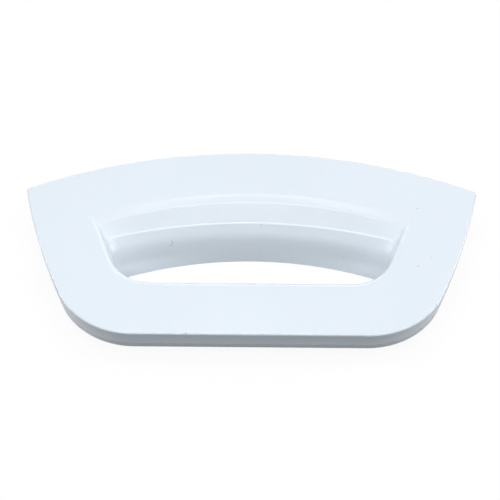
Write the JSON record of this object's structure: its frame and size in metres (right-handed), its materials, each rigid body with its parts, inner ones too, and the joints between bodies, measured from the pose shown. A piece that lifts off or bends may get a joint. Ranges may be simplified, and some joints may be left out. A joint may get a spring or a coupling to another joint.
{
  "type": "washing machine door handle",
  "caption": "Fan-shaped grip frame of a front-loading washing machine's door, moulded in one piece of white plastic, with a stepped finger opening and a hollow ribbed back.",
  "frame": {"origin": "middle of the base: halfway along the width and the depth, on the plane of the screw posts' ends and the finger wall's foot", "axes": "+X along the grip's width, +Y from the near grip bar to the far arc that follows the door ring, +Z out of the face"},
  "size_m": [0.1872, 0.0938, 0.0192],
  "materials": {
    "white_plastic": "gloss"
  },
  "bodies": {
    "root": {"door_handle": "white_plastic"}
  },
  "joints": []
}
